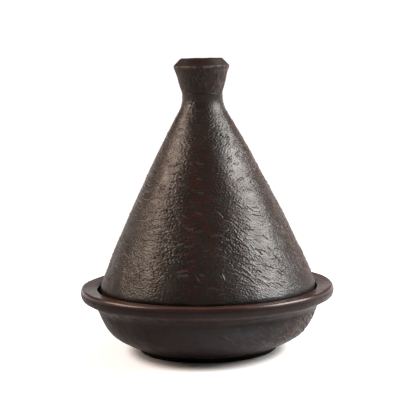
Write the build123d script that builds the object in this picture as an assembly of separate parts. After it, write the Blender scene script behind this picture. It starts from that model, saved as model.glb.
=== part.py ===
from build123d import *
import os

# Tagine pot: a shallow thrown dish with a wide rolled rim, and a tall conical lid whose edge
# stands on a ledge inside that rim. Every piece is turned about the vertical Z axis.
# The foot ring and the lid's knob are thrown separately and luted on with slip.
# Millimetres. Z = 0 is the surface that the pot stands on. Points are (radius, height).

# Foot ring
FOOT_H = 6.0
FOOT_R = 75.6             # outer radius where it stands
FOOT_W = 11.0             # width of the ring where it stands
FOOT_FLARE = 2.0          # how much wider the ring is at the bowl than at the ground

# Bowl
BASE_R = 79.5             # flat underside of the bowl
BOWL_BELLY = [(94.0, 13.0), (107.4, 22.0), (115.7, 34.0)]
SHOULDER = (122.0, 49.5)  # crease where the bowl's wall meets the underside of the rim
WALL_T = 9.5
FLOOR_T = 10.0
FLOOR_R = 64.0            # flat part of the cooking floor

# Rim
RIM_R = 140.0             # widest radius of the whole pot
RIM_TOP_Z = 72.3          # outer top edge of the rim
RIM_FALL = 1.8            # how far the rim's top falls from its outer edge to the lid
RIM_FACE_H = 12.0         # height of the rim's outer face
RIM_CROWN = 1.3           # how far that face swells
RIM_COVE = 4.6            # size of the hollow bend under the rim

# Gallery that the lid stands in
GALLERY_R = 121.4
LEDGE_Z = 64.0
LEDGE_W = 12.0

# Lid
FLANK_FOOT = (118.0, 75.5)  # where the flank starts to turn under at the lid's edge
LID_FOOT_R = 117.4        # outer radius of the edge that stands on the ledge
LID_FOOT_H = 4.0          # upright part of that edge
LID_WALL = 8.0
FLANK_TOP = (26.5, 263.0)  # where the flank starts to bend into the neck
FLANK_BULGE = 3.1         # how far the flank swells out from a straight line
NECK_R = 22.1
NECK_Z = 279.7            # where the neck becomes upright
THROAT_R = 13.0           # bore of the neck, open to the hollow of the knob
THROAT_Z = 267.0          # where the cone's vault narrows to the throat

# Knob
SEAM_Z = 284.0            # joint between the cone's neck and the knob
KNOB_RIDGE = (30.4, 313.0)
KNOB_TOP = (22.6, 321.5)
KNOB_DISH = 2.5           # depth of the hollow pressed into the knob's top
KNOB_LIP = 6.0            # width of the slope round that hollow
KNOB_ROOF_T = 11.0        # clay above the hollow inside the knob

# Roundings left by the potter's sponge
CRISP = 1.2
SOFT = 2.4
ROUND = 10.0


def inset(curve, at, depth):
    """Point at a depth behind the left-hand side of a curve."""
    along = curve % at
    return curve @ at + Vector(-along.Y, along.X) * depth


def turned(*outline):
    """Solid of a closed outline, radius across and height up, turned about the Z axis."""
    face = make_face(Curve() + list(outline))
    return revolve(Plane.XZ * face, Axis.Z).solid()


def eased(solid):
    """The solid with both edges of its lowest face, the one that it stands on, rounded."""
    return solid.fillet(CRISP, solid.faces().sort_by(Axis.Z)[0].edges())


def foot_ring():
    inner_r = FOOT_R - FOOT_W
    outline = Polyline(
        (FOOT_R + FOOT_FLARE, FOOT_H),
        (FOOT_R, 0),
        (inner_r, 0),
        (inner_r - FOOT_FLARE, FOOT_H),
        close=True,
    )
    return eased(turned(outline))


def dish_bowl():
    floor_z = FOOT_H + FLOOR_T
    ledge_inner_r = GALLERY_R - LEDGE_W
    underside = Line((0, FOOT_H), (BASE_R, FOOT_H))
    outside = Spline((BASE_R, FOOT_H), *BOWL_BELLY, SHOULDER)
    rim = FilletPolyline(
        SHOULDER,
        (SHOULDER[0] + RIM_COVE, SHOULDER[1] + RIM_COVE),
        (RIM_R - RIM_CROWN, RIM_TOP_Z - RIM_FACE_H),
        (RIM_R + RIM_CROWN / 4, RIM_TOP_Z - RIM_FACE_H / 2),
        (RIM_R - RIM_CROWN, RIM_TOP_Z),
        (GALLERY_R, RIM_TOP_Z - RIM_FALL),
        (GALLERY_R, LEDGE_Z),
        (ledge_inner_r, LEDGE_Z),
        (ledge_inner_r, SHOULDER[1]),
        radius=[ROUND, ROUND / 2, ROUND, SOFT, CRISP, CRISP, SOFT],
    )
    wall = [inset(outside, at, WALL_T) for at in (0.75, 0.5, 0.25)]
    inside = Spline(rim @ 1, *wall, (FLOOR_R, floor_z), tangents=((0, -1), (-1, 0)))
    floor = Line((FLOOR_R, floor_z), (0, floor_z))
    axis = Line((0, floor_z), (0, FOOT_H))
    return turned(underside, outside, rim, inside, floor, axis)


def lid_cone():
    flank = SagittaArc(FLANK_FOOT, FLANK_TOP, -FLANK_BULGE)
    neck = TangentArc(FLANK_TOP, (NECK_R, NECK_Z), tangent=flank % 1)
    collar = Polyline((NECK_R, NECK_Z), (NECK_R, SEAM_Z), (THROAT_R, SEAM_Z))
    vault_top = inset(flank, 1, LID_WALL)
    vault_foot = inset(flank, 0, LID_WALL)
    throat = Polyline((THROAT_R, SEAM_Z), (THROAT_R, THROAT_Z), vault_top)
    vault = SagittaArc(vault_top, vault_foot, FLANK_BULGE)
    edge = Polyline(
        vault_foot,
        (LID_FOOT_R - LID_WALL, LEDGE_Z),
        (LID_FOOT_R, LEDGE_Z),
        (LID_FOOT_R, LEDGE_Z + LID_FOOT_H),
    )
    skirt = TangentArc(flank @ 0, edge @ 1, tangent=-(flank % 0))
    return eased(turned(flank, neck, collar, throat, vault, edge, skirt))


def lid_knob():
    dish_z = KNOB_TOP[1] - KNOB_DISH
    roof_z = dish_z - KNOB_ROOF_T
    outside = FilletPolyline(
        (NECK_R, SEAM_Z),
        KNOB_RIDGE,
        KNOB_TOP,
        (KNOB_TOP[0] - KNOB_LIP, dish_z),
        (0, dish_z),
        radius=[CRISP, CRISP, SOFT],
    )
    hollow = FilletPolyline(
        (0, dish_z),
        (0, roof_z),
        (THROAT_R, roof_z),
        (THROAT_R, SEAM_Z),
        (NECK_R, SEAM_Z),
        radius=[0, ROUND, 0],
    )
    return turned(outside, hollow)


os.makedirs("parts", exist_ok=True)
for make in (foot_ring, dish_bowl, lid_cone, lid_knob):
    export_step(make(), f"parts/{make.__name__}.step")
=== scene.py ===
from math import cos, pi, radians, sin, tau
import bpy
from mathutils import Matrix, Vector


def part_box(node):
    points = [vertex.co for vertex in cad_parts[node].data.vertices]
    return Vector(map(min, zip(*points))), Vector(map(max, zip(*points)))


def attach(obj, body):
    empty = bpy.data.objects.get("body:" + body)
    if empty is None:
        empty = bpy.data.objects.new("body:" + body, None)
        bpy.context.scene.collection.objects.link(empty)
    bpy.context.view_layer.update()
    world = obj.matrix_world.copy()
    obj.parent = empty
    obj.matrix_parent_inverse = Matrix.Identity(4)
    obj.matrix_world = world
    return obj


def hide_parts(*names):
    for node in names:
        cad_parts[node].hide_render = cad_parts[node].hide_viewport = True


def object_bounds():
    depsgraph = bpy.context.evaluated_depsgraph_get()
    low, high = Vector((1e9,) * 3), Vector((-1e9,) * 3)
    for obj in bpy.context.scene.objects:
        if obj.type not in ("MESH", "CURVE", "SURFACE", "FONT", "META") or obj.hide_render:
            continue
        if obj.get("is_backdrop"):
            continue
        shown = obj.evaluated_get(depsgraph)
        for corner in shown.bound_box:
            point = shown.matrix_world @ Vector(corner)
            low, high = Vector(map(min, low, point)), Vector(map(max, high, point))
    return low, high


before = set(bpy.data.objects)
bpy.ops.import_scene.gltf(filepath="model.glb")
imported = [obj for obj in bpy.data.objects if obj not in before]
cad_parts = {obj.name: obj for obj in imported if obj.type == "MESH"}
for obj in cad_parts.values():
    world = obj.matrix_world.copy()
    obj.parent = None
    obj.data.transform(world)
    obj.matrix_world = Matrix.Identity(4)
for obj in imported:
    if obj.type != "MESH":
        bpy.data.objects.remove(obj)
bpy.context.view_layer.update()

from types import SimpleNamespace

import bpy
import numpy as np
from mathutils import Matrix, Vector

# The looks of a tagine pot: a thrown dish on a luted foot ring, and a tall conical lid with a
# flared knob. Each piece takes its outline from its CAD node and is turned again as a fine
# mesh, with the waver, throwing lines and scored ridges of hand-made clay in its shape.
# Metres. Angles round the pot run anticlockwise from +X, and its front faces -Y.

MM = 0.001
FRONT = -pi / 2

# Mesh
COLUMNS = 1200            # points round the widest rows
FEWEST = 75               # points round the narrowest rows
FINE = 0.65 * MM          # between rows where the clay shows
PLAIN = 1.4 * MM          # between rows inside and underneath
MOST_BEND = 0.35          # radians that the outline may turn between rows
CLOSENESS = 0.8           # points round a row to each gap between rows
OUTLINE_STEP = 0.1 * MM
SOFTNESS = 0.7 * MM       # how far a sponge rounds the clay's corners
CREASE_SOFTNESS = 3 * MM  # how far it rounds a crease that is wiped out
CREASE_REACH = 7 * MM     # and how near to the crease
CUT_ANGLE = 0.3731        # where the CAD node is cut to read its outline, clear of its corners

# Joint between the cone and the knob, which stays sharp
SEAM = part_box("lid_knob")[0].z
SEAM_REACH = 1.2 * MM     # the corners this near to it are not rounded
SEAM_ROW = 0.05 * MM      # a row this near to it is taken to be on it
THROAT_R = 15 * MM        # inside this radius it is only the throat, and is rounded

# Places on the pot, from its CAD outline
FOOT_TOP = 5.9 * MM
FLOOR_Z = 15 * MM         # everything higher inside the dish is cooking floor or wall
WALL_R = 82 * MM          # the dish's outer wall begins here
CREASE = (122 * MM, 50 * MM)
LEDGE_Z = 64 * MM         # the lid stands here
LID_EDGE_Z = 66 * MM      # the lid's flank begins here
RIM_TOP_Z = 71 * MM
RIM_FOOT_Z = 60.5 * MM
RIM_R = 140 * MM
KNOB_RIDGE_Z = 312 * MM   # the knob narrows again above this
KNOB_SLOPE_Z = 316 * MM   # and is all slope from here

# How the lid sits in its gallery
LID_RIGHT = 1.5 * MM
LID_LEAN = 2.5 * MM       # how far its top leans back to the left


# ---------------------------------------------------------------- outlines from the frame

def cut_points(node):
    """Where the half-plane at CUT_ANGLE cuts the node's mesh: points and which ones join."""
    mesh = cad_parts[node].data
    mesh.calc_loop_triangles()
    corners = np.array([v.co for v in mesh.vertices])
    triangles = np.array([t.vertices for t in mesh.loop_triangles])
    corners, same = np.unique(corners.round(7), axis=0, return_inverse=True)
    triangles = same.ravel()[triangles]
    outward = np.array([cos(CUT_ANGLE), sin(CUT_ANGLE), 0.0])
    side = corners @ np.array([-sin(CUT_ANGLE), cos(CUT_ANGLE), 0.0])
    found, joins = {}, {}
    for triangle in triangles:
        ends = []
        for a, b in ((0, 1), (1, 2), (2, 0)):
            a, b = sorted((triangle[a], triangle[b]))
            if side[a] * side[b] < 0:
                at = corners[a] + (corners[b] - corners[a]) * side[a] / (side[a] - side[b])
                found[a, b] = (at @ outward, at[2])
                ends.append((a, b))
        if len(ends) == 2 and max(found[e][0] for e in ends) > 0:
            joins.setdefault(ends[0], []).append(ends[1])
            joins.setdefault(ends[1], []).append(ends[0])
    return found, joins


def outline(node):
    """The node's cross-section as (radius, height) points, anticlockwise, and if it closes."""
    found, joins = cut_points(node)
    loose = [key for key, others in joins.items() if len(others) == 1]
    here = loose[0] if loose else next(iter(joins))
    chain = [here]
    seen = {here}
    while True:
        onward = [key for key in joins[here] if key not in seen]
        if not onward:
            break
        here = onward[0]
        seen.add(here)
        chain.append(here)
    line = np.array([found[key] for key in chain])
    line[:, 0] = line[:, 0].clip(0)
    r, z = line.T
    area = (r * np.roll(z, -1) - np.roll(r, -1) * z).sum()
    line = line if area > 0 else line[::-1]
    return (line if loose else np.roll(line, -line[:, 0].argmin(), axis=0)), not loose


def softened(line, closed, softness=SOFTNESS):
    """The outline in even small steps, with its corners rounded off."""
    if closed:
        line = np.vstack([line, line[:1]])
    length = np.concatenate([[0], np.cumsum(np.linalg.norm(np.diff(line, axis=0), axis=1))])
    steps = int(length[-1] / OUTLINE_STEP)
    at = np.linspace(0, length[-1], steps, endpoint=not closed)
    even = np.stack([np.interp(at, length, line[:, k]) for k in (0, 1)], 1)
    reach = int(4 * softness / OUTLINE_STEP)
    weight = np.exp(-0.5 * (np.arange(-reach, reach + 1) * OUTLINE_STEP / softness) ** 2)
    weight /= weight.sum()
    padded = np.pad(even, ((reach, reach), (0, 0)), mode="wrap" if closed else "edge")
    smooth = np.stack([np.convolve(padded[:, k], weight, "valid") for k in (0, 1)], 1)
    if not closed:
        smooth[[0, -1]] = even[[0, -1]]
    near = np.exp(-((even[:, 1:] - SEAM) / SEAM_REACH) ** 4) * (even[:, :1] > THROAT_R)
    return smooth + (even - smooth) * near


# ---------------------------------------------------------------- turning a piece

def turn(node, shows, crease=None):
    """A piece's rows and their surface points, before any relief.

    shows(r, z, out, up) says where the clay is seen, from each point's radius, height and
    outward direction. Those stretches get the fine rows. A crease at that radius and height
    is wiped out into a wide hollow bend.
    """
    section, closed = outline(node)
    line = softened(section, closed)
    if crease:
        wide = softened(section, closed, CREASE_SOFTNESS)
        near = np.exp(-(np.hypot(*(line - crease).T) / CREASE_REACH) ** 4)[:, None]
        line += (wide - line) * near
    along = np.gradient(line, axis=0)
    along /= np.linalg.norm(along, axis=1)[:, None]
    out, up = along[:, 1], -along[:, 0]
    bend = np.abs(np.gradient(np.unwrap(np.arctan2(up, out)))) / OUTLINE_STEP
    gap = np.where(shows(line[:, 0], line[:, 1], out, up), FINE, PLAIN)
    gap = np.minimum(gap, MOST_BEND / (bend + 1e-6)).clip(0.5 * FINE)
    count = np.concatenate([[0], np.cumsum(OUTLINE_STEP / gap)])[:-1]
    total = int(round(count[-1]))
    even = np.linspace(0, count[-1], total, endpoint=not closed)
    pick = np.interp(even, count, np.arange(len(count))).round().astype(int)
    joint = np.where(np.abs(line[:, 1] - SEAM) < SEAM_ROW, line[:, 0], 0)
    if joint.any():
        pick[np.abs(pick - joint.argmax()).argmin()] = joint.argmax()
    r, z = line[pick].T

    # the points in a row are FEWEST, twice that and so on, and at most double its neighbours'
    circle = np.array([max(2 * pi * r[i] / gap[pick[i]], 1) for i in range(total)])
    points = FEWEST * 2 ** np.ceil(np.log2((circle * CLOSENESS / FEWEST).clip(1))).astype(int)
    points = points.clip(FEWEST, COLUMNS)
    for _ in range(8):
        points = np.minimum(points, 2 * np.minimum(np.roll(points, 1), np.roll(points, -1)))
    if not closed:
        points[[0, -1]] = 1

    angle = np.arange(COLUMNS) * tau / COLUMNS
    ring = np.stack([np.cos(angle), np.sin(angle), np.zeros(COLUMNS)], 1)
    spot = r[:, None, None] * ring + z[:, None, None] * np.array([0, 0, 1.0])
    normal = out[pick][:, None, None] * ring + up[pick][:, None, None] * np.array([0, 0, 1.0])
    return SimpleNamespace(
        r=r, z=z, out=out[pick], up=up[pick], s=pick * OUTLINE_STEP, angle=angle,
        spot=spot, normal=normal, points=points, closed=closed,
        relief=np.zeros(spot.shape[:2]), shift=np.zeros(spot.shape), layers={},
    )


def bridge(a, na, b, nb):
    """Faces between a ring of na points that starts at index a and the next one along."""
    if na == nb:
        k = np.arange(na)
        k1 = (k + 1) % na
        return np.stack([a + k, a + k1, b + k1, b + k], 1).tolist()
    if nb == 1 or na == 1:
        k = np.arange(max(na, nb))
        k1 = (k + 1) % len(k)
        if nb == 1:
            return np.stack([a + k, a + k1, np.full(len(k), b)], 1).tolist()
        return np.stack([np.full(len(k), a), b + k1, b + k], 1).tolist()
    k = np.arange(min(na, nb))
    k1 = (k + 1) % len(k)
    if na > nb:
        wide = [a + 2 * k, a + 2 * k + 1, a + (2 * k + 2) % na]
        first = [wide[0], wide[1], b + k]
        middle = [wide[1], b + k1, b + k]
        last = [wide[1], wide[2], b + k1]
    else:
        wide = [b + 2 * k, b + 2 * k + 1, b + (2 * k + 2) % nb]
        first = [a + k, wide[1], wide[0]]
        middle = [a + k, a + k1, wide[1]]
        last = [a + k1, wide[2], wide[1]]
    return np.concatenate([np.stack(t, 1) for t in (first, middle, last)]).tolist()


def finished(name, t, body, node, material):
    """Blender object of a turned piece, with its relief pressed in, on its body."""
    shape = t.spot + t.normal * t.relief[:, :, None] + t.shift
    picks = [np.arange(0, COLUMNS, COLUMNS // n) for n in t.points]
    start = np.concatenate([[0], np.cumsum(t.points)])
    coords = np.concatenate([shape[i, p] for i, p in enumerate(picks)])
    faces, smooth = [], []
    rows = len(t.points)
    for i in range(rows if t.closed else rows - 1):
        j = (i + 1) % rows
        faces += bridge(start[i], t.points[i], start[j], t.points[j])
        joint = max(abs(t.z[i] - SEAM), abs(t.z[j] - SEAM)) < SEAM_ROW
        smooth += [not joint] * (len(faces) - len(smooth))
    mesh = bpy.data.meshes.new(name)
    mesh.from_pydata(coords.tolist(), [], faces)
    mesh.polygons.foreach_set("use_smooth", smooth)
    for layer, values in t.layers.items():
        flat = np.concatenate([values[i, p] for i, p in enumerate(picks)])
        mesh.attributes.new(layer, "FLOAT", "POINT").data.foreach_set("value", flat)
    mesh.materials.append(material)
    piece = bpy.data.objects.new(name, mesh)
    bpy.context.scene.collection.objects.link(piece)
    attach(piece, body)
    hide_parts(node)
    return piece


# ---------------------------------------------------------------- relief in the clay

def waves(t, size, seed, stretch=(1, 1, 1), count=48):
    """Even random waver of about unit height, whose hollows are about size across.

    stretch draws it out along X, Y and Z, and count is how many plane waves make it up.
    """
    rng = np.random.default_rng(seed)
    way = rng.normal(size=(count, 3))
    way /= np.linalg.norm(way, axis=1)[:, None]
    way *= (tau / size * rng.uniform(0.6, 1.5, count))[:, None] / np.array(stretch)
    phase = rng.uniform(0, tau, count)
    total = np.zeros(t.relief.shape)
    for k in range(count):
        total += np.sin(t.spot @ way[k] + phase[k])
    return total / np.sqrt(count / 2)


def between(x, low, high):
    """0 below low, 1 above high, and smooth between them."""
    share = ((x - low) / (high - low)).clip(0, 1)
    return share * share * (3 - 2 * share)


def hump(x, middle, width):
    """1 at the middle, and fading away on both sides."""
    return np.exp(-((x - middle) / width) ** 2)


def around(t):
    """Each column's angle from the front, from -pi to pi, positive to the right."""
    return (t.angle - FRONT + pi) % tau - pi


def facing(turned, middle, width):
    """A hump over the angles from the front, with its middle and width in degrees."""
    return hump(turned, radians(middle), radians(width))


def score(t, mark, height):
    """Press one raised drag mark into height, a field over the piece's points.

    mark has the angle and height of its middle, its length, tilt, bend, width and rise. Its
    tilt is 0 level and positive rising to the right, and its bend is positive when it is
    bowed upwards. A shallow groove lies along its lower side.
    """
    middle = t.s[t.rows][np.abs(t.z[t.rows] - mark.z).argmin()]
    reach = mark.length / 2 + abs(mark.bend) + 4 * mark.width
    rows = t.rows[np.abs(t.s[t.rows] - middle) < reach]
    half = int(reach / (t.r[rows].mean() * tau / COLUMNS)) + 1
    centre = int(round(mark.angle / tau * COLUMNS))
    steps = np.arange(-half, half + 1)
    columns = (centre + steps) % COLUMNS
    across = t.r[rows][:, None] * (steps * tau / COLUMNS)[None, :]
    up = (t.s[rows] - middle)[:, None]
    a = across * cos(mark.tilt) + up * sin(mark.tilt)
    b = up * cos(mark.tilt) - across * sin(mark.tilt)
    share = 2 * a / mark.length
    off = b - mark.bend * (1 - share ** 2)
    off /= np.sqrt(1 + (4 * mark.bend * share / mark.length) ** 2)
    fade = (1 - share ** 2).clip(0) ** 0.6
    ridge = mark.rise * fade * np.exp(-((off / mark.width) ** 2))
    groove = 0.5 * mark.rise * fade * np.exp(-(((off + 1.9 * mark.width) / mark.width) ** 2))
    patch = np.ix_(rows, columns)
    raised, sunk = np.maximum(height[patch], ridge), height[patch] - groove
    height[patch] = np.where(ridge > groove, raised, sunk)


def comb(t, field, pitch, seed, sharp, low, high, stretch):
    """Raised lines, 0 to 1, along the level lines of a field and a pitch apart.

    A higher sharp makes them narrower. They are broken into short lengths, which stretch
    draws out and which get fewer as low and high rise.
    """
    line = 0.5 + 0.5 * np.cos(tau * field / pitch + waves(t, 11 * MM, seed))
    return line ** sharp * between(waves(t, 6 * MM, seed + 1, stretch=stretch), low, high)


def rings(t, pitch, depth, rows, seed):
    """Press the rings that a thrower's fingers leave into some of the rows."""
    wander = 1.3 * waves(t, 110 * MM, seed)
    t.relief += depth * np.cos(tau * t.s[:, None] / pitch + wander) * rows[:, None]


# ---------------------------------------------------------------- materials

class Nodes:
    """A short way to write a material's node tree."""

    def __init__(self, name):
        self.material = bpy.data.materials.new(name)
        self.material.use_nodes = True
        self.tree = self.material.node_tree
        self.shader = self.tree.nodes["Principled BSDF"]
        self.spot = self.add("ShaderNodeTexCoord").outputs["Object"]

    def add(self, kind, **settings):
        node = self.tree.nodes.new(kind)
        for key, value in settings.items():
            setattr(node, key, value)
        return node

    def put(self, value, socket):
        if hasattr(value, "is_output"):
            self.tree.links.new(value, socket)
        else:
            socket.default_value = value

    def math(self, operation, a, b):
        node = self.add("ShaderNodeMath", operation=operation)
        self.put(a, node.inputs[0])
        self.put(b, node.inputs[1])
        return node.outputs[0]

    def ramp(self, value, low, high, to_low=0.0, to_high=1.0):
        node = self.add("ShaderNodeMapRange", interpolation_type="SMOOTHSTEP")
        for socket, given in zip(node.inputs, (value, low, high, to_low, to_high)):
            self.put(given, socket)
        return node.outputs[0]

    def noise(self, size, detail=3.0, rough=0.55, stretch=(1, 1, 1)):
        scaled = self.add("ShaderNodeMapping")
        self.put(self.spot, scaled.inputs["Vector"])
        scaled.inputs["Scale"].default_value = [1 / (size * k) for k in stretch]
        node = self.add("ShaderNodeTexNoise")
        self.put(scaled.outputs[0], node.inputs["Vector"])
        node.inputs["Scale"].default_value = 1.0
        node.inputs["Detail"].default_value = detail
        node.inputs["Roughness"].default_value = rough
        return node.outputs[0]

    def layer(self, name):
        return self.add("ShaderNodeAttribute", attribute_name=name).outputs["Fac"]

    def mix(self, share, a, b):
        node = self.add("ShaderNodeMix", data_type="RGBA")
        self.put(share, node.inputs[0])
        self.put(a, node.inputs[6])
        self.put(b, node.inputs[7])
        return node.outputs[2]

    def bump(self, height, depth, under=None):
        node = self.add("ShaderNodeBump")
        self.put(height, node.inputs["Height"])
        node.inputs["Strength"].default_value = 1.0
        node.inputs["Distance"].default_value = depth
        if under is not None:
            self.put(under, node.inputs["Normal"])
        return node.outputs[0]


# blue-grey tone: a bloom on the dish, and on the lid's lower right the painted bluish cast of its
# sheen
BLUE_GREY = (0.019, 0.022, 0.029)      # blue-grey carbon bloom
HAZE = (1.0, 0.8, 0.72)            # reddish dust, seen where the clay turns away
CLAY_SHINE = 0.05                  # specular level of the clay under the burnish


def clay(name, slip, tint, red, pale, gloss, shine, grain, brush=(5, 5, 1), dust=0.0):
    """Burnished slip over red clay, rubbed through to the clay on its ridges and edges, and with
    light painted on in its pale layer.

    slip and tint are the two tones of the slip, red the bare clay and pale the colour of its
    rubbed edges and of the painted glints, sheen and highlights.
    gloss is the burnish's roughness, shine its strength at full polish, grain the depth of
    the fine grain, brush how the fine marks of the burnishing are drawn out, and dust the
    strength of the haze.
    """
    n = Nodes(name)
    clouds = n.ramp(n.noise(38 * MM, 4.0), 0.35, 0.65)
    speck = n.noise(1.5 * MM, 2.0)
    brushed = n.noise(1.1 * MM, 3.0, 0.6, stretch=brush)
    colour = n.mix(clouds, (*slip, 1), (*tint, 1))
    colour = n.mix(n.ramp(speck, 0.45, 0.75, 0.0, 0.7), colour, (*[c * 0.4 for c in slip], 1))
    # each layer of the mesh lays its colour on, a little broken up by noise
    # the pale layer is rubbed clay and painted light; the bluish one is a bloom on the dish and,
    # on the lid, the painted bluish cast of its sheen
    for layer, tone, size, detail, low, high, least in (
        ("bluish_tone", BLUE_GREY, 14 * MM, 4.0, 0.3, 0.6, 0.4),
        ("ridge", red, 9 * MM, 3.0, 0.3, 0.6, 0.3),
        ("bare", red, 16 * MM, 4.0, 0.3, 0.62, 0.55),
        ("wear_and_painted_light", pale, 5 * MM, 4.0, 0.4, 0.6, 0.2),
    ):
        broken = n.ramp(n.noise(size, detail), low, high, least, 1.0)
        colour = n.mix(n.math("MULTIPLY", n.layer(layer), broken), colour, (*tone, 1))
    n.put(colour, n.shader.inputs["Base Color"])
    rough = n.ramp(n.noise(11 * MM, 4.0, 0.6), 0.3, 0.7, 0.42, 0.62)
    n.put(n.math("ADD", rough, n.ramp(speck, 0.4, 0.8, -0.04, 0.1)), n.shader.inputs["Roughness"])
    normal = n.bump(brushed, grain, n.bump(speck, grain))
    n.put(normal, n.shader.inputs["Normal"])
    n.put(normal, n.shader.inputs["Coat Normal"])
    n.put(n.math("MULTIPLY", n.layer("polish"), shine), n.shader.inputs["Coat Weight"])
    n.shader.inputs["Coat Roughness"].default_value = gloss
    n.shader.inputs["Sheen Weight"].default_value = dust
    n.shader.inputs["Sheen Roughness"].default_value = 0.4
    n.shader.inputs["Sheen Tint"].default_value = (*HAZE, 1)
    n.shader.inputs["Specular IOR Level"].default_value = CLAY_SHINE
    return n.material


# ---------------------------------------------------------------- the pieces

# The cone's boldest strokes: degrees right of the front, height, length and tilt in degrees
BOLD = [
    (22, 96, 19, -42), (31, 90, 16, -40), (16, 103, 12, -30), (26, 108, 14, -22),
    (38, 104, 12, -28), (8, 98, 9, -70), (-6, 97, 10, -64), (35, 121, 15, -20),
    (24, 128, 12, -32), (12, 134, 11, -18), (30, 143, 13, -12), (19, 152, 12, -38),
    (9, 160, 13, -45), (26, 168, 9, -35), (8, 118, 14, -24), (44, 96, 10, -48),
    (-34, 104, 18, -55), (-42, 96, 14, -60), (-26, 96, 12, 40), (-30, 120, 11, -30),
]
TURNOVER = 0.62           # share of the cone's flank where its lines stop falling rightwards
GOLDEN = 0.618            # steps of this share never bunch up


def drag_field(t, share):
    """A height-like field over the cone, in metres, whose level lines the tool followed.

    They run level across the front, fall to the right low on the right and low on the left,
    and rise to the right at the right of the neck.
    """
    turned = around(t)[None, :]
    below = 0.95 * (1 - share / TURNOVER) * facing(turned, 38, 30)
    above = -1.8 * (share - TURNOVER) / (1 - TURNOVER) * facing(turned, 35, 30)
    left = 1.1 * facing(turned, -52, 17) * hump(share, 0.12, 0.16)
    left = left - 0.35 * facing(turned, -22, 14) * hump(share, 0.1, 0.12)
    slope = np.where(share < TURNOVER, below, above) + left

    # what rises round the front falls again round the back, so that the field meets itself
    back = hump(np.abs(turned), pi, radians(60))
    slope = slope - back * slope.sum(1, keepdims=True) / back.sum()
    order = np.argsort(around(t))
    rise = np.zeros(slope.shape)
    rise[:, order] = np.cumsum(slope[:, order], axis=1) * tau / COLUMNS
    field = t.s[:, None] + t.r[:, None] * rise
    return field + 1.8 * MM * waves(t, 60 * MM, 12) + 0.4 * MM * waves(t, 15 * MM, 13)


def cone_combing(t, field, share, turned):
    """Relief of the cone's fine combing, which is finest at the right of its neck."""
    combed = np.zeros(t.relief.shape)
    for pitch, height, seed in ((4.3, 0.28, 51), (3.3, 0.22, 57), (2.3, 0.15, 61)):
        lines = comb(t, field, pitch * MM, seed, 6, -0.2, 1.0, (2, 2, 1))
        combed = np.maximum(combed, height * MM * lines)
    near_neck = hump(share, 0.8, 0.13) * facing(turned, 30, 26)
    finest = 0.17 * MM * comb(t, field, 1.9 * MM, 63, 2, -1.0, 0.2, (1, 1, 1))
    return np.maximum(combed * (1 - 0.6 * near_neck), finest * near_neck)


def cone_strokes(t, field):
    """Relief of the separate strokes that were scored over the combing."""
    marks = np.zeros(t.relief.shape)
    rng = np.random.default_rng(11)
    fall_s, fall_a = np.gradient(field[t.rows], axis=0), np.gradient(field[t.rows], axis=1)
    fall_s /= np.gradient(t.s[t.rows])[:, None]
    fall_a /= t.r[t.rows][:, None] * tau / COLUMNS

    # along the field all round, from many faint ones to a few bold ones
    for count, lengths, rises, widths in (
        (4200, (2.5, 7), (0.14, 0.34), (0.38, 0.52)),
        (560, (6, 15), (0.40, 0.75), (0.45, 0.65)),
        (210, (7, 15), (0.75, 0.95), (0.50, 0.65)),
    ):
        for _ in range(count):
            height = 0.985 * (1 - np.sqrt(rng.uniform(0.0, 0.97)))
            row = int(len(t.rows) * (0.05 + 0.95 * height))
            angle = rng.uniform(0, tau)
            column = int(angle / tau * COLUMNS)
            length = rng.uniform(*lengths) * MM * (1 - 0.5 * height)
            level = -np.arctan2(fall_a[row, column], fall_s[row, column])
            score(t, SimpleNamespace(
                angle=angle, z=t.z[t.rows[row]], length=length,
                tilt=level + rng.normal(0, 0.16),
                bend=length * rng.normal(0.04, 0.05),
                width=rng.uniform(*widths) * MM,
                rise=rng.uniform(*rises) * MM,
            ), marks)

    for angle, z, length, tilt in BOLD:
        score(t, SimpleNamespace(
            angle=FRONT + radians(angle), z=z * MM, length=length * MM, tilt=radians(tilt),
            bend=0.07 * length * MM, width=0.62 * MM, rise=0.9 * MM,
        ), marks)

    # nearly level ones at the left
    rng = np.random.default_rng(17)
    for k in range(60):
        score(t, SimpleNamespace(
            angle=FRONT + radians(-84 + 66 * (0.755 * k % 1)),
            z=(84 + 130 * (GOLDEN * k % 1)) * MM,
            length=rng.uniform(7, 15) * MM, tilt=radians(rng.normal(3, 7)),
            bend=rng.normal(0, 0.6) * MM, width=0.6 * MM, rise=rng.uniform(0.75, 1.0) * MM,
        ), marks)
    return marks


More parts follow.
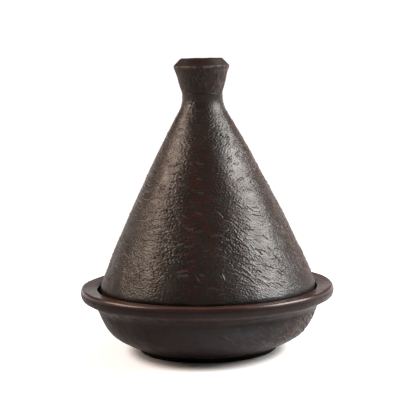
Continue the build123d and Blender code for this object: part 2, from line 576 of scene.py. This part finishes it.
def lid_cone():
    t = turn("lid_cone", lambda r, z, out, up: (out > 0) & (z > LID_EDGE_Z))
    t.rows = np.flatnonzero((t.out > 0) & (t.z > LID_EDGE_Z))
    low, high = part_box("lid_cone")
    start, end = t.s[t.rows[0]], t.s[t.rows[-1]]
    share = ((t.s - start) / (end - start))[:, None]
    z = t.z[:, None]
    turned = around(t)[None, :]
    aside = np.abs(turned)

    # the flank stops at a plain wavy edge below, and just short of the knob above
    edge = 6.0 * MM + 1.5 * MM * waves(t, 40 * MM, 25)
    above = between(z - low.z - edge, 0, 3 * MM) * (t.out > 0)[:, None]
    flank = above * between(-z, -high.z, -high.z + 2.5 * MM)
    free = between(z, low.z + 4 * MM, low.z + 14 * MM) * between(-z, -high.z, -high.z + 14 * MM)

    field = drag_field(t, share)
    combed = cone_combing(t, field, share, turned)
    marks = cone_strokes(t, field)
    rough = between(waves(t, 45 * MM, 24), -1.0, 1.2) + 0.7 * facing(turned, -42, 30)
    t.relief += np.where(marks > 0, np.maximum(marks, combed), marks + combed) * flank
    t.relief += 0.3 * MM * waves(t, 70 * MM, 22) * free
    grain = waves(t, 2.2 * MM, 23, stretch=(1.5, 1.5, 1), count=96)
    t.relief += (0.035 + 0.045 * rough) * MM * grain * flank
    inside = (t.out < 0) & (t.z > low.z + 8 * MM) & (t.r > 16 * MM)
    rings(t, 8 * MM, 0.16 * MM, inside * between(t.r, 16 * MM, 26 * MM), 29)

    # red clay on the ridges, most of it down the middle of the front
    middle = facing(turned, -6, 20) * (0.5 + 0.5 * hump(share, 0.5, 0.3))
    elsewhere = 0.35 + 0.25 * np.sin(turned) + 0.3 * between(waves(t, 45 * MM, 27), -0.2, 1.0)
    reddened = np.maximum(middle, elsewhere + 0.6 * between(share, 0.93, 0.98))
    patches = between(waves(t, 4.5 * MM, 91, stretch=(2, 2, 1)) + 1.5 * reddened, 0.9, 1.6)
    tops = (marks / (0.25 * MM)).clip(0, 1)
    t.layers["ridge"] = patches * np.maximum(tops, 0.75 * middle) * flank

    # pale where the strokes are rubbed, and paler towards the sides with dust; the pale on the
    # strokes in the highlight bands and on their tops is partly painted glints, and that at the
    # sides is partly painted sheen
    stroked = np.maximum(marks / (0.42 * MM) - 0.2, 1.5 * combed / (0.28 * MM) - 0.7).clip(0, 1)
    sides = between(aside, radians(25), radians(60))
    dust_and_painted_light = (0.1 + 0.07 * between(share, 0.5, 0.8)) * between(aside, radians(48), radians(78))
    # painted highlight: pale filling the dark band between the left highlight and the left side
    dust_and_painted_light = dust_and_painted_light + 0.09 * facing(turned, -48, 11) * between(share, 0.2, 0.5)
    # painted glints: pale on the tops of the strongest strokes between the front and the
    # highlights
    pale_crests_and_glints = (marks / (0.3 * MM) - 1.6).clip(0, 1) * between(aside, radians(8), radians(30))
    wear_and_painted_light = np.maximum(0.4 * stroked * sides + dust_and_painted_light, 0.6 * pale_crests_and_glints) * flank
    t.layers["wear_and_painted_light"] = wear_and_painted_light + 0.3 * inside[:, None]
    # bluish low on the right, where the right highlight falls: the painted bluish cast of the
    # sheen
    t.layers["bluish_tone"] = 0.8 * facing(turned, 38, 30) * between(-share, -0.45, -0.1)

    # burnished most on the strokes, and less at the sides, the neck and the edge
    dull = 0.5 * facing(turned, -58, 30) + 0.4 * facing(turned, 66, 22)
    dull += 0.3 * between(aside, radians(62), radians(84))
    hem = 0.78 - 0.45 * facing(turned, -4, 24)
    neck = 1 - 0.18 * between(share, 0.7, 0.9) - 0.35 * between(share, 0.95, 1.0)
    polish = (1 - dull * (1 - share).clip(0, 1)) * (hem + (1 - hem) * above) * neck
    polish *= 0.8 + 0.34 * stroked - 0.45 * t.layers["ridge"]
    t.layers["polish"] = polish * (1 + 0.13 * waves(t, 18 * MM, 28)).clip(0.7, 1.25)
    lean(t)
    return finished("lid_cone_clay", t, "lid", "lid_cone", material_lid)


def lean(t):
    """The lid sits a little to the right in its gallery and leans back to the left."""
    share = (t.z - LEDGE_Z) / (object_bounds()[1].z - LEDGE_Z)
    t.shift[:, :, 0] = (LID_RIGHT - LID_LEAN * share)[:, None]


def lid_knob():
    t = turn("lid_knob", lambda r, z, out, up: (r > 14 * MM) | (up > 0.3))
    low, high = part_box("lid_knob")
    z = t.z[:, None]
    turned = around(t)[None, :]
    away = between(z, low.z, low.z + 6 * MM)
    slope = between(z, KNOB_RIDGE_Z, KNOB_SLOPE_Z)
    ribs = waves(t, 2.4 * MM, 32, stretch=(1, 1, 5))
    t.relief += 0.16 * MM * waves(t, 20 * MM, 31) * away
    t.relief += 0.13 * MM * ribs * away * (1 - 0.75 * slope)
    everywhere = np.ones(t.relief.shape)
    t.layers["ridge"] = 0.95 * between(waves(t, 3 * MM, 33, stretch=(1, 1, 6)), 0.2, 1.6)
    t.layers["bare"] = 0.9 * np.maximum(hump(z, low.z, 6 * MM), slope) * everywhere
    t.layers["polish"] = 0.15 + slope * (0.5 * (1 - facing(turned, -4, 42)) - 0.12)
    edge = hump(t.r, high.x, 0.4 * MM) * (t.out > 0)
    # paler at the right and a little at the left: painted light where the windows fall, with dust
    # streaks down the body
    dust_and_painted_light = 0.34 * facing(turned, 68, 34) + 0.1 * facing(turned, -75, 30)
    dust_and_painted_light = dust_and_painted_light * between(t.out, 0.5, 0.9)[:, None]
    streaks = between(waves(t, 2.6 * MM, 34, stretch=(1, 1, 5)), 0.2, 1.5)
    dust_and_painted_light = dust_and_painted_light + 0.16 * streaks * (1 - slope)
    t.layers["wear_and_painted_light"] = np.maximum(0.7 * edge[:, None], dust_and_painted_light)
    lean(t)
    return finished("lid_knob_clay", t, "lid", "lid_knob", material_knob)


def dish_strokes(t):
    """Relief of the dish's strokes: aslant at the right, and again round the back."""
    marks = np.zeros(t.relief.shape)
    rng = np.random.default_rng(5)
    for first, last, count, tilt, low_z, lengths, boldness in (
        (8, 60, 24, -38, 20, (6, 16), 0.55),
        (46, 114, 58, -36, 25, (9, 23), 0.9),
        (-250, -100, 60, 30, 20, (7, 18), 0.8),
    ):
        for k in range(count):
            angle = first + (last - first) * (k + rng.uniform(0, 1)) / count
            share = (GOLDEN * k + rng.uniform(0, 0.1)) % 1
            score(t, SimpleNamespace(
                angle=FRONT + radians(angle), z=(low_z + (46 - low_z) * share) * MM,
                length=rng.uniform(*lengths) * MM, tilt=radians(rng.normal(tilt, 8)),
                bend=rng.normal(0, 0.9) * MM, width=rng.uniform(0.6, 1.0) * MM,
                rise=boldness * rng.uniform(0.45, 0.95) * MM,
            ), marks)
    return marks


def dish_bowl():
    t = turn("dish_bowl", lambda r, z, out, up: (r > WALL_R) & (out > -0.5), crease=CREASE)
    t.rows = np.flatnonzero((t.out > 0) & (t.z < 49 * MM))
    r, z = t.r[:, None], t.z[:, None]
    out, up = t.out[:, None], t.up[:, None]
    turned = around(t)[None, :]
    wall = between(-z, -46 * MM, -36 * MM) * between(z, 8 * MM, 14 * MM) * (out > 0)
    scored = between(-z, -49 * MM, -46 * MM) * between(z, 12 * MM, 22 * MM) * (out > 0)
    inside = (out < 0.05) & (up > -0.3) & (r < 109 * MM) & (z > FLOOR_Z)
    outside = (out > 0) & (r > 80 * MM)
    right = between(np.sin(turned), -0.7, 0.5) * outside * (1 - 0.8 * hump(z, CREASE[1], 5 * MM))

    marks = dish_strokes(t) * scored
    t.relief += marks
    t.relief += 0.2 * MM * waves(t, 60 * MM, 41) * (r > 125 * MM)
    t.relief += 0.03 * MM * waves(t, 3.5 * MM, 42, stretch=(8, 8, 1)) * wall
    t.relief += 0.07 * MM * waves(t, 3 * MM, 44, count=96) * right * wall
    t.relief += (0.06 + 0.1 * right) * MM * waves(t, 30 * MM, 43) * wall
    rings(t, 8 * MM, 0.13 * MM, inside[:, 0], 47)
    rings(t, 6 * MM, 0.08 * MM, (t.up < -0.9) & (t.r < 60 * MM), 48)

    # red and pale on the strokes, the pale partly rubbed clay and partly painted glints, with a
    # bluish bloom at the right of the front
    far = facing(turned, 78, 30)
    blotches = between(waves(t, 11 * MM, 47), 0.1, 1.3) * facing(turned, 50, 36) * scored
    tops = (marks / (0.3 * MM)).clip(0, 1)
    t.layers["ridge"] = np.maximum((0.2 + 0.03 * far) * tops, 0.22 * blotches)
    # pale on the stroke tops: painted glints as well as wear
    t.layers["wear_and_painted_light"] = (0.28 + 0.12 * far) * (marks / (0.5 * MM)).clip(0, 1)
    bloom = 0.8 * facing(turned, 22, 15) * hump(z, 37 * MM, 8 * MM)
    t.layers["bluish_tone"] = np.maximum(bloom, 0.3 * facing(turned, 15, 35) * scored)

    # bare along the top and corners of the rim, and inside
    rim_top = between(up, 0.35, 0.75) * between(r, 122 * MM, 125 * MM) * (z > 66 * MM)
    streaks = 0.5 + 0.5 * np.cos(tau * r / (3.4 * MM) + 3 * waves(t, 70 * MM, 46))
    corners = hump(z, RIM_TOP_Z, 2.5 * MM) + 0.6 * hump(z, RIM_FOOT_Z, 1.2 * MM)
    corners = 0.55 * hump(r, RIM_R, 2.5 * MM) * corners
    bare = np.maximum(rim_top * (0.6 + 0.4 * streaks), corners)
    t.layers["bare"] = np.maximum(bare, 0.35 * inside)

    # burnished on the inner edge of the rim, and a little inside and at the right
    rim = between(r, 119 * MM, 122 * MM) * between(z, 66 * MM, 70 * MM) * between(up, 0.05, 0.4)
    t.layers["polish"] = 0.02 + 0.3 * inside + 0.24 * right + (0.98 - 0.24 * right) * rim

    # the rim stands a little higher at the left of the front
    lifted = between(t.r, 112 * MM, 122 * MM) * between(t.z, 52 * MM, 66 * MM)
    t.shift[:, :, 2] = 0.8 * MM * lifted[:, None] * facing(turned, -35, 55)
    return finished("dish_bowl_clay", t, "dish", "dish_bowl", material_dish)


def foot_ring():
    t = turn("foot_ring", lambda r, z, out, up: (out > 0) & (z < FOOT_TOP))
    t.layers["polish"] = np.full(t.relief.shape, 0.1)
    return finished("foot_ring_clay", t, "dish", "foot_ring", material_foot)


# ---------------------------------------------------------------- stage, light and camera

def camera():
    """A long lens 1.5 m in front of the pot, a little above its knob, as in the photograph."""
    data = bpy.data.cameras.new("camera")
    data.lens = 118.76
    data.sensor_width = 36.0
    eye = bpy.data.objects.new("camera", data)
    bpy.context.scene.collection.objects.link(eye)
    pitch, roll, yaw = radians(90 - 7.319), radians(-1.235), radians(-0.112)
    eye.matrix_world = (
        Matrix.Translation((0, -1.5, 0.3495))
        @ Matrix.Rotation(yaw, 4, "Z")
        @ Matrix.Rotation(pitch, 4, "X")
        @ Matrix.Rotation(roll, 4, "Z")
    )
    bpy.context.scene.camera = eye


def softbox(name, place, width, height, radiance, colour):
    """A flat light that faces the middle of the pot."""
    data = bpy.data.lights.new(name, "AREA")
    data.shape = "RECTANGLE"
    data.size = width
    data.size_y = height
    data.color = colour
    data.energy = radiance * pi * width * height
    lamp = bpy.data.objects.new(name, data)
    bpy.context.scene.collection.objects.link(lamp)
    lamp.location = place
    aim = Vector((0, 0, 0.15)) - lamp.location
    lamp.rotation_mode = "QUATERNION"
    lamp.rotation_quaternion = aim.to_track_quat("-Z", "Y")


def surround():
    """White below and along the horizon, dim above, and less white on the camera's side."""
    world = bpy.data.worlds.new("studio")
    world.use_nodes = True
    tree = world.node_tree
    way = tree.nodes.new("ShaderNodeTexCoord").outputs["Generated"]
    parts = tree.nodes.new("ShaderNodeSeparateXYZ")
    tree.links.new(way, parts.inputs[0])
    both = tree.nodes.new("ShaderNodeMath")
    both.operation = "MULTIPLY"
    for factor, axis, limits in (
        (both.inputs[0], "Z", (0.06, 0.28, 1.0, 0.05)),
        (both.inputs[1], "Y", (-0.3, 0.2, 0.6, 1.0)),
    ):
        fade = tree.nodes.new("ShaderNodeMapRange")
        fade.interpolation_type = "SMOOTHSTEP"
        tree.links.new(parts.outputs[axis], fade.inputs[0])
        for socket, value in zip(fade.inputs[1:5], limits):
            socket.default_value = value
        tree.links.new(fade.outputs[0], factor)
    tree.nodes["Background"].inputs["Color"].default_value = (1.13, 1.065, 1.035, 1)
    tree.links.new(both.outputs[0], tree.nodes["Background"].inputs["Strength"])
    bpy.context.scene.world = world


def floor(radius=0.5, corners=96):
    """A round sheet of pale paper that glows, overexposed, but for a painted shadow close round
    the pot's foot.
    """
    mesh = bpy.data.meshes.new("floor")
    angles = [k * tau / corners for k in range(corners)]
    ring = [(radius * cos(a), radius * sin(a), 0) for a in angles]
    mesh.from_pydata(ring, [], [list(range(corners))])
    n = Nodes("floor_paper")
    paper = n.mix(n.noise(0.4), (0.87, 0.87, 0.87, 1), (0.89, 0.89, 0.89, 1))
    n.put(paper, n.shader.inputs["Base Color"])
    n.shader.inputs["Roughness"].default_value = 0.9
    n.shader.inputs["Emission Color"].default_value = (1, 1, 1, 1)
    # the emission fades out in an oval round the foot, which paints the pot's contact shadow on
    # the paper
    drawn = n.add("ShaderNodeMapping")
    drawn.inputs["Scale"].default_value = (1.03, 0.82, 1)
    n.put(n.spot, drawn.inputs["Vector"])
    reach = n.add("ShaderNodeVectorMath", operation="LENGTH")
    n.put(drawn.outputs[0], reach.inputs[0])
    glow_with_painted_shadow = n.ramp(reach.outputs["Value"], 0.078, 0.1, 0.0, 0.6)
    n.put(glow_with_painted_shadow, n.shader.inputs["Emission Strength"])
    mesh.materials.append(n.material)
    sheet = bpy.data.objects.new("floor", mesh)
    bpy.context.scene.collection.objects.link(sheet)
    sheet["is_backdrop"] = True


bpy.context.scene.view_settings.view_transform = "Standard"
camera()
surround()
floor()
softbox("left_window", (-1.5, -0.05, 1.15), 1.05, 0.9, 9.4, (1.0, 0.78, 0.63))
softbox("right_window", (1.5, -0.13, 1.1), 1.35, 0.9, 14.4, (1.0, 0.955, 0.915))
softbox("ceiling", (0.0, 0.3, 1.6), 2.4, 1.8, 0.6, (1.0, 1.0, 1.0))

material_lid = clay(
    "lid_clay", slip=(0.0115, 0.0092, 0.0070), tint=(0.0190, 0.0140, 0.0108),
    red=(0.042, 0.0084, 0.0056), pale=(0.23, 0.125, 0.1),
    gloss=0.33, shine=1.0, grain=0.16 * MM, dust=0.04,
)
material_knob = clay(
    "knob_clay", slip=(0.0178, 0.0139, 0.0122), tint=(0.0330, 0.0248, 0.0214),
    red=(0.021, 0.011, 0.009), pale=(0.16, 0.125, 0.108),
    gloss=0.36, shine=0.7, grain=0.09 * MM, brush=(1, 1, 6), dust=0.03,
)
material_dish = clay(
    "dish_clay", slip=(0.0095, 0.0060, 0.0056), tint=(0.0160, 0.0098, 0.0091),
    red=(0.064, 0.0185, 0.0115), pale=(0.16, 0.08, 0.072),
    gloss=0.27, shine=0.9, grain=0.04 * MM, dust=0.014,
)
material_foot = clay(
    "foot_clay", slip=(0.003, 0.0023, 0.0021), tint=(0.005, 0.0036, 0.003),
    red=(0.05, 0.02, 0.013), pale=(0.2, 0.13, 0.1),
    gloss=0.5, shine=0.2, grain=0.12 * MM,
)

lid_cone()
lid_knob()
dish_bowl()
foot_ring()
